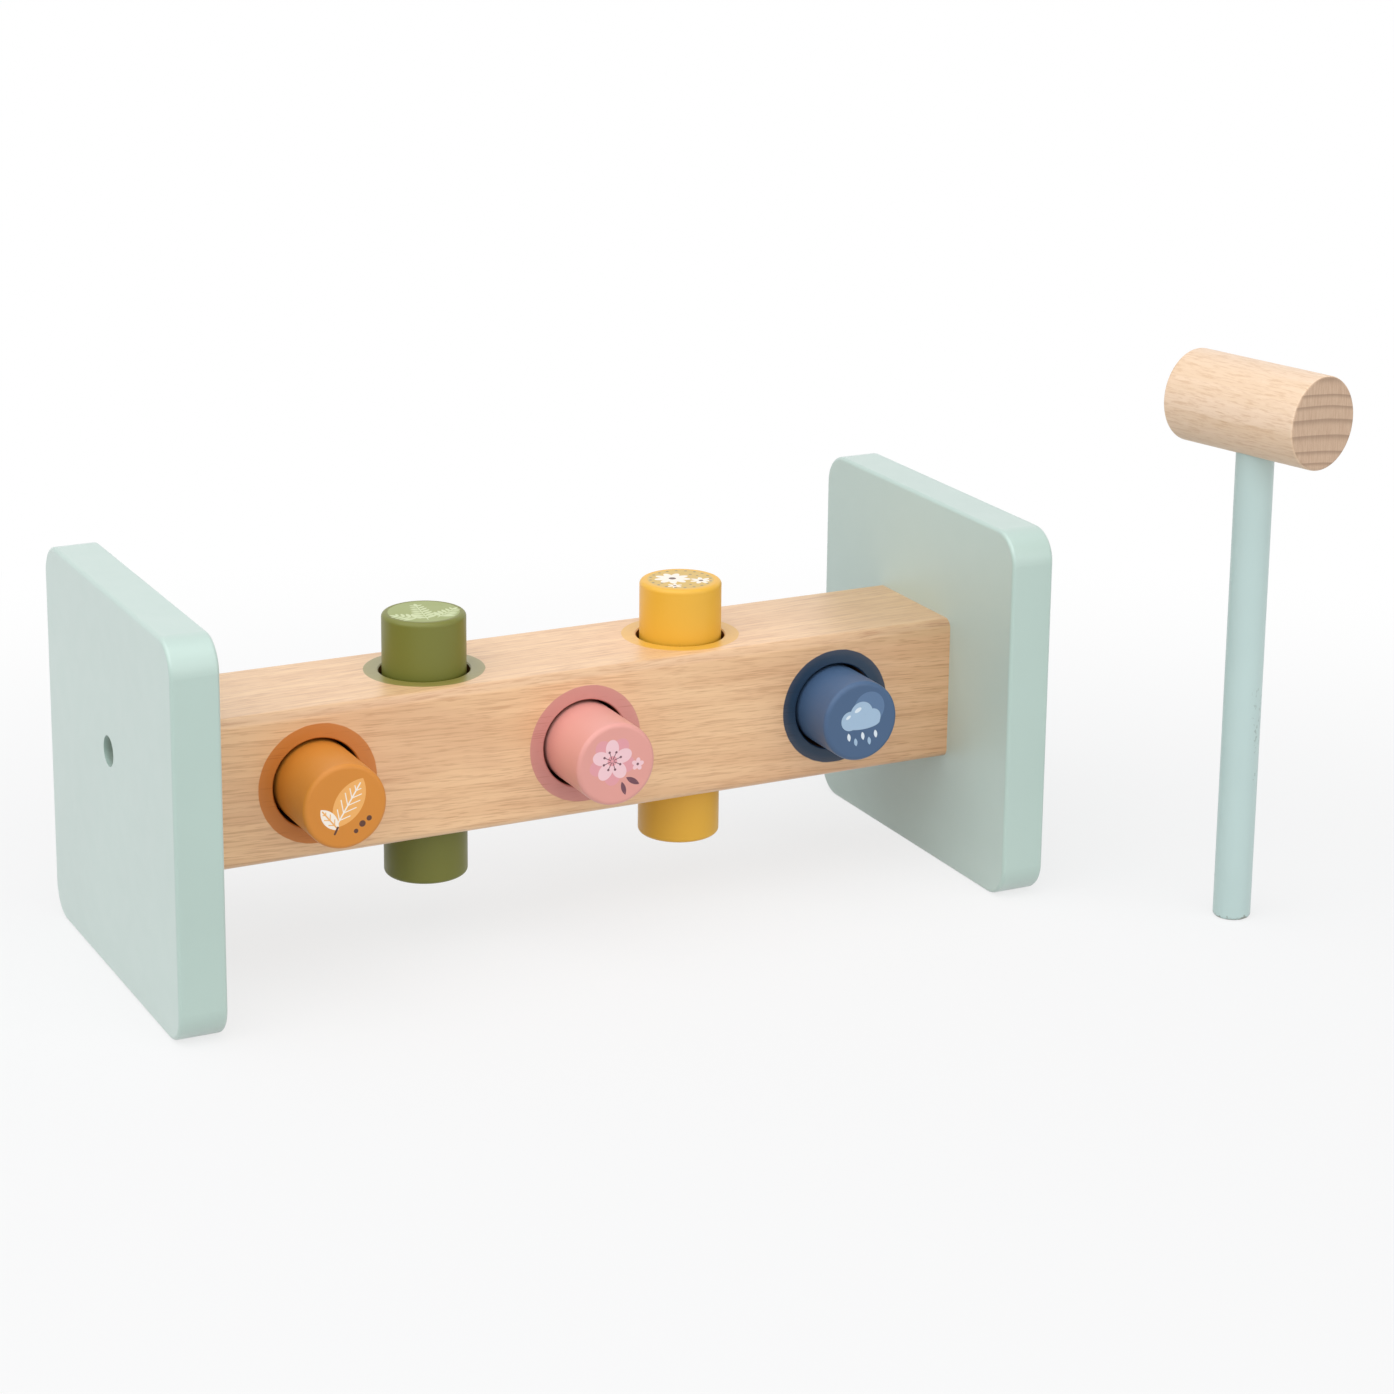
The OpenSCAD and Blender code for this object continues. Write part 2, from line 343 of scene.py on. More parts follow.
def fill_paint(t, given):
    """Sprayed paint: a faint drift of tone and the orange peel that spraying leaves."""
    position = given["Position"]
    peel = t.noise(t.stretch(position, PEEL_SIZE), detail=1.0)
    grit = t.noise(t.stretch(position, GRIT_SIZE), detail=1.0)
    peel = t.math("MULTIPLY", peel, PEEL_DEPTH)
    height = t.math("ADD", peel, t.math("MULTIPLY", grit, GRIT_DEPTH))
    tone = t.noise(t.stretch(position, TONE_SIZE))
    gloss = t.noise(t.stretch(position, GLOSS_SIZE))
    return {"Tone": tone, "Gloss": gloss, "Height": height}


PAINT_SKIN = new_group(
    "paint_skin", fill_paint, outputs=("Tone", "Gloss", "Height"), vectors=("Position",),
)


# The painted ring round a hole: sizes in millimetres, and how much of the paint covers the wood

RING_RADIUS = 15.85
RING_RIM = (RING_RADIUS + 0.22, RING_RADIUS - 0.04)
RING_COVER = (RING_RADIUS, RING_RADIUS - 2.2, 0.95, 0.99)
WOBBLE_SIZE = 2.4
WOBBLE_REACH = 0.24
PAINT_DEPTH = 0.36
PAINT_BLEND = 0.02
BORE_RIM = (HOLE_RADIUS + 0.8, HOLE_RADIUS + 0.6)


def fill_ring(t, given):
    """One hole's painted ring, thinner towards its rim, and the hole's bare wall."""
    along = t.math("SUBTRACT", given["Along"], given["Centre"])
    flat = t.join(along, given["Across"])
    wobble = t.math("MULTIPLY", t.noise(t.stretch(flat, WOBBLE_SIZE)), WOBBLE_REACH)
    radius = t.vector("LENGTH", flat)
    edge = t.math("ADD", radius, wobble)
    disc = t.fade(edge, *RING_RIM)
    film = t.math("MULTIPLY", disc, t.fade(edge, *RING_COVER))
    out = t.math("ABSOLUTE", given["Out"])
    painted_to = BEAM_FACE - PAINT_DEPTH
    on_face = t.fade(out, painted_to - PAINT_BLEND, painted_to + PAINT_BLEND)
    in_bore = t.fade(radius, *BORE_RIM)
    in_bore = t.math("MULTIPLY", in_bore, t.math("SUBTRACT", 1.0, on_face))
    return {"Paint": t.math("MULTIPLY", film, on_face), "Bore": in_bore}


RING_MARK = new_group(
    "ring_mark", fill_ring,
    outputs=("Paint", "Bore"), floats=("Along", "Across", "Out", "Centre"),
)


# Ink marks, in millimetres

INK_EDGE = 0.05


def turned_to(t, given):
    """The position seen from a mark's centre, with X along the mark."""
    seen = t.vector("SUBTRACT", given["Position"], given["Centre"])
    turn_back = t.math("SUBTRACT", 0.0, given["Turn"])
    return t.add("VectorRotate", {"Vector": seen, "Angle": turn_back}).outputs["Vector"]


def inked(t, past):
    """The mask of a mark, from how far a point is past its outline."""
    return {"Mask": t.fade(past, INK_EDGE, -INK_EDGE)}


def fill_spot(t, given):
    """An oval mark."""
    seen = turned_to(t, given)
    local = t.vector("DIVIDE", seen, t.join(given["Length"], given["Width"], 1.0))
    flat = t.vector("MULTIPLY", local, WITHOUT_Z)
    past = t.math("SUBTRACT", t.vector("LENGTH", flat), 1.0)
    return inked(t, t.math("MULTIPLY", past, given["Width"]))


def fill_leaf(t, given):
    """A leaf with two pointed ends, where two equal circles overlap."""
    local = t.split(turned_to(t, given))
    length, width = given["Length"], given["Width"]
    square = t.math("ADD", t.math("MULTIPLY", length, length), t.math("MULTIPLY", width, width))
    circle = t.math("DIVIDE", square, t.math("MULTIPLY", width, 2.0))
    lifted = t.math("ADD", t.math("ABSOLUTE", local["Y"]), t.math("SUBTRACT", circle, width))
    return inked(t, t.math("SUBTRACT", t.vector("LENGTH", t.join(local["X"], lifted)), circle))


def fill_petals(t, given):
    """A ring of equal petals, folded onto one."""
    local = t.split(turned_to(t, given))
    radius = t.vector("LENGTH", t.join(local["X"], local["Y"]))
    angle = t.math("ARCTAN2", local["Y"], local["X"])
    step = t.math("DIVIDE", 2 * math.pi, given["Count"])
    nearest = t.math("MULTIPLY", step, t.math("ROUND", t.math("DIVIDE", angle, step)))
    folded = t.math("SUBTRACT", angle, nearest)
    x = t.math("MULTIPLY", radius, t.math("COSINE", folded))
    x = t.math("SUBTRACT", x, given["Reach"])
    y = t.math("MULTIPLY", radius, t.math("SINE", folded))
    x, y = t.math("DIVIDE", x, given["Length"]), t.math("DIVIDE", y, given["Width"])
    past = t.math("SUBTRACT", t.vector("LENGTH", t.join(x, y)), 1.0)
    return inked(t, t.math("MULTIPLY", past, given["Width"]))


def fill_stroke(t, given):
    """A straight stroke of the pen with round ends."""
    line = t.vector("SUBTRACT", given["End"], given["Start"])
    seen = t.vector("SUBTRACT", given["Position"], given["Start"])
    along = t.vector("DOT_PRODUCT", seen, line)
    share = t.math("DIVIDE", along, t.vector("DOT_PRODUCT", line, line))
    share = t.math("MINIMUM", t.math("MAXIMUM", share, 0.0), 1.0)
    nearest = t.vector("MULTIPLY", line, t.join(share, share, share))
    beside = t.vector("MULTIPLY", t.vector("SUBTRACT", seen, nearest), WITHOUT_Z)
    off = t.vector("LENGTH", beside)
    return inked(t, t.math("SUBTRACT", off, t.math("DIVIDE", given["Width"], 2.0)))


def mark_group(name, fill, more=()):
    """A mark with a centre, a turn, and half its length and width."""
    floats = ("Turn", "Length", "Width", *more)
    return new_group(name, fill, outputs=("Mask",), vectors=("Position", "Centre"), floats=floats)


INK_SPOT = mark_group("ink_spot", fill_spot)
INK_LEAF = mark_group("ink_leaf", fill_leaf)
INK_PETALS = mark_group("ink_petals", fill_petals, ("Reach", "Count"))
INK_STROKE = new_group(
    "ink_stroke", fill_stroke,
    outputs=("Mask",), vectors=("Position", "Start", "End"), floats=("Width",),
)


# Prints on the pegs' ends, in millimetres from the end's middle, each mark laid over the last

def mark(ink, group, x, y, length, width, turn, **more):
    values = {"Centre": (x, y, 0.0), "Length": length, "Width": width, "Turn": math.radians(turn)}
    return ink, group, {**values, **more}


def spot(ink, x, y, length, width=None, turn=0.0):
    return mark(ink, INK_SPOT, x, y, length, width or length, turn)


def leaf(ink, x, y, length, width, turn):
    return mark(ink, INK_LEAF, x, y, length, width, turn)


def petals(ink, x, y, count, reach, length, width, turn=0.0):
    return mark(ink, INK_PETALS, x, y, length, width, turn, Reach=reach, Count=float(count))


def stroke(ink, x1, y1, x2, y2, width):
    return ink, INK_STROKE, {"Start": (x1, y1, 0.0), "End": (x2, y2, 0.0), "Width": width}


def polar(x, y, reach, degrees):
    """The point at that reach and angle from x, y."""
    angle = math.radians(degrees)
    return x + reach * math.cos(angle), y + reach * math.sin(angle)


# Drawn lines: widths, and how far side veins and leaflets lean from their stem, in degrees
RIB_WIDTH = 0.38
VEIN_WIDTH = 0.26
STEM_WIDTH = 0.34
STAMEN_WIDTH = 0.2
VEIN_LEAN = 42
LEAFLET_LEAN = 52

# A veined leaf: its rib and veins, as shares of half its length and width
RIB_FOOT = 0.92
RIB_TIP = 0.8
FIRST_VEIN = 0.8
VEINS_FOOT = 0.95
VEINS_SPAN = 1.5
VEIN_REACH = 0.95
VEIN_SWELL_START = 0.2
VEIN_SWELL_SPAN = 0.7

# A fern sprig: half a leaflet's length, how it shortens towards the tip, and the rest as shares
FIRST_LEAFLET = 0.7
LEAFLET_HALF = 1.9
LEAFLET_FOOT_SHARE = 1.15
LEAFLET_TAPER = 0.62
LEAFLET_OUT = 1.02
LEAFLET_SLIMNESS = 0.34
TIP_LEAFLET = (1.3, 0.5)
TIP_LEAFLET_OUT = 0.7

# A daisy: its petals and eye, as shares of its reach
PETAL_OUT = 0.58
PETAL_HALF = 0.42
PETAL_HALF_WIDTH = 0.21
DAISY_EYE = 0.2

# A blossom's stamens: how far out they begin and end, and the dot past each end
STAMEN_TURNS = range(18, 378, 45)
STAMEN_START = 0.5
STAMEN_END = 2.3
STAMEN_DOT_OUT = 2.5
STAMEN_DOT = 0.33


def veined_leaf(ink, vein_ink, x, y, length, width, turn, veins):
    """A leaf with its midrib and pairs of side veins, which are longest near its middle."""
    foot = polar(x, y, -length * RIB_FOOT, turn)
    tip = polar(x, y, length * RIB_TIP, turn)
    marks = [leaf(ink, x, y, length, width, turn), stroke(vein_ink, *foot, *tip, RIB_WIDTH)]
    for i in range(veins):
        share = (i + FIRST_VEIN) / veins
        root = polar(x, y, length * (VEINS_SPAN * share - VEINS_FOOT), turn)
        swell = math.sin(math.pi * (VEIN_SWELL_START + VEIN_SWELL_SPAN * share))
        reach = width * VEIN_REACH * swell
        for side in (-1, 1):
            end = polar(*root, reach, turn + side * VEIN_LEAN)
            marks.append(stroke(vein_ink, *root, *end, VEIN_WIDTH))
    return marks


def sprig(ink, x, y, length, turn, pairs):
    """A fern sprig: a stem with pairs of leaflets that shorten towards its tip."""
    tip = polar(x, y, length, turn)
    last_leaflet = leaf(ink, *polar(*tip, TIP_LEAFLET_OUT, turn), *TIP_LEAFLET, turn)
    marks = [stroke(ink, x, y, *tip, STEM_WIDTH), last_leaflet]
    for i in range(pairs):
        share = (i + FIRST_LEAFLET) / pairs
        root = polar(x, y, length * share, turn)
        half = LEAFLET_HALF * (LEAFLET_FOOT_SHARE - LEAFLET_TAPER * share)
        for side in (-1, 1):
            lean = turn + side * LEAFLET_LEAN
            centre = polar(*root, half * LEAFLET_OUT, lean)
            marks.append(leaf(ink, *centre, half, half * LEAFLET_SLIMNESS, lean))
    return marks


def daisy(petal_ink, eye_ink, x, y, reach, count, turn):
    sides = (reach * PETAL_OUT, reach * PETAL_HALF, reach * PETAL_HALF_WIDTH)
    return [petals(petal_ink, x, y, count, *sides, turn), spot(eye_ink, x, y, reach * DAISY_EYE)]


def stamens(ink, x, y):
    """Stamens round the middle of a blossom, each with a dot at its end."""
    stems = [
        stroke(ink, *polar(x, y, STAMEN_START, a), *polar(x, y, STAMEN_END, a), STAMEN_WIDTH)
        for a in STAMEN_TURNS
    ]
    return stems + [spot(ink, *polar(x, y, STAMEN_DOT_OUT, a), STAMEN_DOT) for a in STAMEN_TURNS]


def dot_ring(ink, reach, dot, step):
    """A ring of dots round the end's middle, one every step degrees."""
    return [spot(ink, *polar(0.0, 0.0, reach, a), dot) for a in range(0, 360, step)]


CREAM = srgb(250, 240, 226)
AMBER = srgb(243, 178, 100)
UMBER = srgb(92, 58, 44)
SHELL = srgb(244, 203, 208)
ROSE = srgb(229, 158, 164)
PLUM = srgb(110, 66, 78)
MIST = srgb(164, 190, 214)
SLATE = srgb(92, 120, 155)
SNOW = srgb(222, 232, 240)
FERN = srgb(202, 210, 162)
MOSS = srgb(154, 163, 99)
TAUPE = srgb(150, 124, 86)
SAND = srgb(214, 177, 88)

LEAF_PRINT = [
    *veined_leaf(AMBER, CREAM, 0.9, 1.0, 7.0, 3.7, 58, 5),
    *veined_leaf(CREAM, AMBER, -4.3, -2.7, 3.7, 1.7, 128, 3),
    stroke(UMBER, -3.0, -6.6, -2.2, -5.0, 0.55),
    spot(UMBER, 4.3, -4.9, 0.85),
    spot(UMBER, 6.1, -3.7, 0.7),
    spot(UMBER, 2.6, -6.6, 0.6),
]
BLOSSOM_MIDDLE = (-1.2, 1.2)
BLOSSOM_PRINT = [
    petals(ROSE, *BLOSSOM_MIDDLE, 5, 3.7, 2.9, 2.35, 54),
    petals(SHELL, *BLOSSOM_MIDDLE, 5, 3.3, 2.4, 1.85, 18),
    spot(ROSE, *BLOSSOM_MIDDLE, 1.35),
    *stamens(PLUM, *BLOSSOM_MIDDLE),
    leaf(PLUM, 4.6, -4.9, 2.2, 0.75, -32),
    leaf(PLUM, 2.0, -6.6, 1.9, 0.65, -74),
    petals(SHELL, 6.0, -0.6, 5, 1.0, 0.75, 0.6, 10),
    spot(PLUM, 6.0, -0.6, 0.36),
]
CLOUD_PRINT = [
    spot(SLATE, 2.4, 3.4, 4.6),
    spot(MIST, -3.3, 0.5, 2.7),
    spot(MIST, 0.1, 2.1, 3.4),
    spot(MIST, 3.4, 0.7, 2.5),
    spot(MIST, 0.1, -0.5, 5.6, 1.75),
    spot(SNOW, -1.0, 3.3, 1.1, 0.55, 28),
    spot(SNOW, -3.9, 1.6, 0.8, 0.42, 34),
    leaf(SNOW, -3.6, -4.0, 1.15, 0.5, 100),
    leaf(MIST, -1.5, -5.6, 1.15, 0.5, 100),
    leaf(SNOW, 0.6, -4.1, 1.15, 0.5, 100),
    leaf(MIST, 2.6, -5.7, 1.15, 0.5, 100),
    leaf(SNOW, 4.5, -4.0, 1.15, 0.5, 100),
]
FERN_PRINT = [
    spot(MOSS, 0.0, 0.0, 9.3),
    *sprig(FERN, -1.6, -7.0, 12.6, 82, 7),
    *sprig(FERN, 1.4, -6.2, 8.2, 38, 5),
    *sprig(FERN, -3.0, -5.4, 6.6, 138, 4),
]
DAISY_PRINT = [
    spot(SAND, 0.0, 0.0, 8.9),
    *daisy(CREAM, UMBER, -1.7, 1.5, 4.9, 9, 8),
    *daisy(CREAM, UMBER, 4.4, -3.4, 3.0, 7, 20),
    *daisy(CREAM, UMBER, -4.2, -5.0, 2.1, 6, 0),
    *dot_ring(TAUPE, 8.1, 0.42, 18),
    spot(TAUPE, 4.4, 3.0, 0.45),
    spot(TAUPE, 5.6, 1.2, 0.35),
    spot(TAUPE, -6.2, -1.4, 0.4),
    spot(TAUPE, 0.2, -5.6, 0.4),
]


# Painted finishes

MINT = srgb(171, 197, 186)
# The handle's mint: the boards' paint, made lighter and bluer as painted light
HANDLE_LIT_MINT = srgb(192, 214, 210)
# Painted shade for the inside of the boards' recesses
RECESS_SHADE_MINT = srgb(136, 152, 136)
PEGS = {
    "orange": {"paint": srgb(216, 138, 50), "coat": 0.15, "print": LEAF_PRINT},
    "pink": {"paint": srgb(230, 161, 150), "coat": 0.4, "print": BLOSSOM_PRINT},
    "blue": {"paint": srgb(70, 97, 131), "coat": 0.15, "print": CLOUD_PRINT},
    "green": {"paint": srgb(118, 120, 48), "coat": 0.2, "print": FERN_PRINT},
    "yellow": {"paint": srgb(237, 181, 55), "coat": 0.4, "print": DAISY_PRINT},
}
RING_PAINTS = {
    "orange": srgb(203, 123, 48),
    "pink": srgb(210, 144, 135),
    "blue": srgb(10, 49, 76),
    "green": srgb(139, 130, 58),
    "yellow": srgb(229, 176, 58),
}
SATIN_FINISH = {"Specular IOR Level": 0.35, "Coat Roughness": 0.36, "Coat IOR": 1.5}
HANDLE_FINISH = {**SATIN_FINISH, "Coat Weight": 0.35}
BOARD_FINISH = {
    "Specular IOR Level": 0.8,
    "Coat Weight": 1.0,
    "Coat Roughness": 0.52,
    "Coat IOR": 1.9,
    "Sheen Weight": 0.45,
    "Sheen Roughness": 0.55,
}
DRIFT = 0.975
PAINT_ROUGHNESS = (0.40, 0.50)


def painted(name, colour, origin, lay, finish):
    """Paint on wood. lay(tree, shade, height) gives both back with what lies over the paint."""
    material, t, sockets = new_material(name)
    skin = t.use(PAINT_SKIN, {"Position": t.place(origin)})
    darker = tuple(DRIFT * level for level in colour[:3]) + (1.0,)
    shade = t.mix(t.fade(skin["Tone"], *NOISE_SPREAD), darker, colour)
    shade, height = lay(t, shade, skin["Height"])
    t.put_all(sockets, {
        "Base Color": shade,
        "Roughness": t.fade(skin["Gloss"], *WIDE_SPREAD, *PAINT_ROUGHNESS),
        "Normal": t.relief(height),
        **finish,
    })
    return material


# How far below the peg's end a print begins, and how its ink is worn, in millimetres
PRINT_DEPTH = (-0.08, -0.04)
INK_WEAR_SIZE = 0.5
INK_WEAR = (0.18, 0.34)


def printed_end(marks, origin, turn):
    """Lays a print over the paint of a peg's printed end."""
    def lay(t, shade, height):
        end = t.place(origin, turn)
        on_end = t.fade(t.split(end)["Z"], *PRINT_DEPTH)
        worn = t.fade(t.noise(t.stretch(end, INK_WEAR_SIZE)), *INK_WEAR)
        left = t.math("MULTIPLY", on_end, worn)
        for ink, group, values in marks:
            mask = t.use(group, {"Position": end, **values})["Mask"]
            shade = t.mix(t.math("MULTIPLY", mask, left), shade, ink)
        return shade, height
    return lay


# Painted shade inside a recess, in millimetres from its axis and its mouth
RECESS_RIM = (RECESS_RADIUS + 0.3, RECESS_RADIUS + 0.1)
RECESS_SHADE_FADE = (0.1, RECESS_DEPTH * 0.3)
RECESS_SHARE = 0.75


def shade_in_recess(name, side):
    """The recess in an end board's outer face, darkened inside with painted shade."""
    def lay(t, shade, height):
        face = middle(name + "_board").x + side * size(name + "_board").x / 2 * MM
        seen = t.split(t.place(Vector((face, *middle(name + "_screw").yz))))
        radius = t.vector("LENGTH", t.join(seen["Y"], seen["Z"]))
        depth = t.math("MULTIPLY", seen["X"], -side)
        near = t.fade(radius, *RECESS_RIM)
        recess_shade = t.math("MULTIPLY", near, t.fade(depth, *RECESS_SHADE_FADE))
        # Painted shade inside the recess
        inside = t.mix(RECESS_SHARE, shade, RECESS_SHADE_MINT)
        return t.mix(recess_shade, shade, inside), height
    return lay


# The handle's wear, in millimetres from its foot and its axis
RUBBED_WOOD = srgb(150, 158, 148)
RUBBED_SIZE = (1.5, 1.5, 0.9)
RUBBED_FOOT = (2.6, 0.1, -0.25, 0.16)
RUBBED_EDGE = (0.54, 0.62)
RUBBED_DEPTH = 0.04
SCUFF_SHADE = srgb(140, 158, 152)
SCUFF_SIZE = (0.9, 0.9, 1.3)
SCUFF_EDGE = (0.60, 0.68)
SCUFF_TOP = (68.0, 62.0)
SCUFF_BOTTOM = (34.0, 40.0)
SCUFF_DIRECTION = (0.89, -0.45, 0.0)
SCUFF_OUT = (1.2, 2.6)
SCUFF_SHARE = 0.5


def handle_wear(t, shade, height):
    """Rubbed paint at the handle's foot, and scuffs half-way up its right side."""
    seen = t.place(HANDLE_FOOT)
    up = t.split(seen)["Z"]
    patches = t.noise(t.stretch(seen, RUBBED_SIZE), detail=3.0)
    near_foot = t.fade(up, *RUBBED_FOOT)
    rubbed = t.fade(t.math("ADD", patches, near_foot), *RUBBED_EDGE)
    scuffs = t.noise(t.stretch(seen, SCUFF_SIZE))
    band = t.math("MULTIPLY", t.fade(up, *SCUFF_TOP), t.fade(up, *SCUFF_BOTTOM))
    on_side = t.fade(t.vector("DOT_PRODUCT", seen, SCUFF_DIRECTION), *SCUFF_OUT)
    scuffed = t.fade(scuffs, *SCUFF_EDGE)
    scuffed = t.math("MULTIPLY", scuffed, t.math("MULTIPLY", band, on_side))
    shade = t.mix(rubbed, shade, RUBBED_WOOD)
    shade = t.mix(t.math("MULTIPLY", scuffed, SCUFF_SHARE), shade, SCUFF_SHADE)
    return shade, t.math("SUBTRACT", height, t.math("MULTIPLY", rubbed, RUBBED_DEPTH))


# Wood finishes: tones, and the shares of flecks, growth lines and fibres in them

BEECH_FLECK = srgb(190, 134, 88)
BEECH_TONES = {
    "light": srgb(243, 201, 153),
    "dark": srgb(233, 188, 140),
    "fleck": BEECH_FLECK,
    "growth": srgb(212, 160, 118),
    "growth_share": 0.24,
    "fibre_share": 0.46,
}
BARE_FLECK = srgb(208, 168, 128)
BARE_TONES = {
    "light": srgb(242, 214, 186),
    "dark": srgb(235, 205, 173),
    "fleck": BARE_FLECK,
    "growth": BARE_FLECK,
    "fleck_share": 0.45,
    "growth_share": 0.1,
    "fibre_share": 0.48,
}
# The bores' walls: darker drilled end grain, darkened further with painted shade
BORE_WALL_AND_SHADE = srgb(120, 74, 42)
STREAK_SPREAD = (0.36, 0.64)
FIBRE_SPREAD = (0.46, 0.68)


def beech_shade(t, figure, light, dark, fleck, growth, fleck_share, growth_share, fibre_share):
    """The colour of planed beech from its figure."""
    shade = t.mix(t.fade(figure["Streaks"], *STREAK_SPREAD), dark, light)
    shade = t.mix(t.math("MULTIPLY", figure["Growth"], growth_share), shade, growth)
    shade = t.mix(t.math("MULTIPLY", figure["Flecks"], fleck_share), shade, fleck)
    return t.mix(t.fade(figure["Fibres"], *FIBRE_SPREAD, 0.0, fibre_share), shade, fleck)


# The beam's own grain, its right end of darker wood and painted shade, and its upper edges with
# painted shade over their highlight, in millimetres from its middle
BEAM_GRAIN_TURN = (0.0, math.radians(-2.4), math.radians(-1.2))
BEAM_GRAIN = {
    "Ring Centre": (0.0, 96.0, 6.0),
    "Ring Spacing": 4.2,
    "Fleck Size": 1.0,
    "Fibre Length": 16.0,
    "Waviness": 1.0,
}
TOP_START = (BEAM_FACE - 6.0, BEAM_FACE - 0.5)
# The right end's darker tone on the beam's sides and top: darker wood, and painted shade from the
# right board
SIDES_DARKEN = (25.0, 95.0)
SIDES_WOOD_AND_SHADE = (0.87, 0.81, 0.79, 1.0)
SIDES_FLECKS = (0.46, 0.64)
TOP_DARKENS = (52.0, 98.0)
TOP_WOOD_AND_SHADE = (0.77, 0.76, 0.72, 1.0)
# Painted shade on the upper edges, cool and dark, over their highlight; there the lacquer is also
# thinner
EDGE_START = (BEAM_FACE - 2.3, BEAM_FACE - 1.1)
EDGE_ABOVE = (-8.0, 8.0)
EDGE_SHADE_TINT = (0.83, 0.84, 0.91, 1.0)
EDGE_DULLED = 0.5

# The beam's lacquer, and the rings' paint: the flecks' share through it and its film in millimetres
LACQUER = 0.8
LACQUER_ROUGHNESS = (0.42, 0.52)
FLECKS_THROUGH_PAINT = 0.25
PAINT_FILM = 0.05


def darker_end(t, seen):
    """How far the beam's sides, and its top, take the darker tone of its right end: darker wood, and
    painted shade from the right board.
    """
    top = t.fade(seen["Z"], *TOP_START)
    towards_end = t.fade(seen["X"], *SIDES_DARKEN)
    on_sides = t.math("MULTIPLY", towards_end, t.math("SUBTRACT", 1.0, top))
    return on_sides, t.math("MULTIPLY", t.fade(seen["X"], *TOP_DARKENS), top)


def upper_edges(t, seen):
    """The beam's two upper long edges."""
    inner_side = t.math("MINIMUM", t.math("ABSOLUTE", seen["Y"]), t.math("ABSOLUTE", seen["Z"]))
    return t.math("MULTIPLY", t.fade(inner_side, *EDGE_START), t.fade(seen["Z"], *EDGE_ABOVE))


def lacquered_beech():
    """The beam: lacquered beech with painted rings, darker at its right end from darker wood and
    painted shade.

    Along the upper edges painted shade cools and darkens the wood over the edges' highlight, and the
    lacquer is thinner.
    """
    material, t, sockets = new_material("lacquered_beech")
    grain = t.place(BEAM_MIDDLE, BEAM_GRAIN_TURN)
    figure = t.use(BEECH_FIGURE, {"Position": grain, **BEAM_GRAIN})
    seen = t.split(t.place(BEAM_MIDDLE))
    dark_sides, dark_top = darker_end(t, seen)
    fleck_share = t.fade(dark_sides, 0.0, 1.0, *SIDES_FLECKS)
    shade = beech_shade(t, figure, fleck_share=fleck_share, **BEECH_TONES)
    # The right end's darker wood, and painted shade from the right board
    shade = t.mix(dark_sides, shade, SIDES_WOOD_AND_SHADE, "MULTIPLY")
    shade = t.mix(dark_top, shade, TOP_WOOD_AND_SHADE, "MULTIPLY")
    edge = upper_edges(t, seen)
    # Painted shade over the upper edges' highlight
    shade = t.mix(edge, shade, EDGE_SHADE_TINT, "MULTIPLY")

    bores = painted_share = 0.0
    dulled = t.math("MULTIPLY", edge, EDGE_DULLED)
    for colour, ring_paint in RING_PAINTS.items():
        level = colour in LEVEL_PEGS
        ring = t.use(RING_MARK, {
            "Along": seen["X"],
            "Across": seen["Z" if level else "Y"],
            "Out": seen["Y" if level else "Z"],
            "Centre": (middle(colour + "_peg").x - BEAM_MIDDLE.x) * PER_METRE,
        })
        flecks = t.math("MULTIPLY", figure["Flecks"], FLECKS_THROUGH_PAINT)
        ring_shade = t.mix(flecks, ring_paint, BEECH_FLECK, "MULTIPLY")
        shade = t.mix(ring["Paint"], shade, ring_shade)
        bores = t.math("MAXIMUM", bores, ring["Bore"])
        painted_share = t.math("MAXIMUM", painted_share, ring["Paint"])
        if level:
            dulled = t.math("MAXIMUM", dulled, ring["Paint"])
    # The bores' walls: darker end grain and painted shade
    shade = t.mix(bores, shade, BORE_WALL_AND_SHADE)
    film = t.math("MULTIPLY", painted_share, PAINT_FILM)
    roughness = t.fade(figure["Flecks"], 0.0, 1.0, *LACQUER_ROUGHNESS)
    lacquer = t.math("SUBTRACT", 1.0, t.math("MAXIMUM", bores, dulled))
    t.put_all(sockets, {
        "Base Color": shade,
        "Roughness": roughness,
        "Coat Weight": t.math("MULTIPLY", lacquer, LACQUER),
        "Coat Roughness": 0.36,
        "Normal": t.relief(t.math("ADD", figure["Height"], film)),
    })
    return material


# Bare beech's grain and end grain, in millimetres
BARE_GRAIN = {"Ring Spacing": 3.7, "Fleck Size": 0.7, "Fibre Length": 4.5, "Waviness": 0.3}
HEAD_RINGS = (0.0, -29.0, -210.0)
DOWEL_RINGS = (0.0, 30.0, 20.0)
END_GRAIN = srgb(210, 179, 150)
END_RAY = srgb(194, 159, 131)
END_LINE = srgb(148, 118, 94)
RAY_SIZE = (3.0, 0.28, 5.0)
RAY_SPREAD = (0.4, 0.7)
PORE_SIZE = (0.4, 0.25, 0.25)
PORE_EDGE = (0.35, 0.1, 0.0, 0.25)
END_LINE_SHARE = 0.62
END_BLEND = (0.35, 0.05)
BARE_ROUGHNESS = (0.58, 0.70)
BARE_RELIEF = 1.4


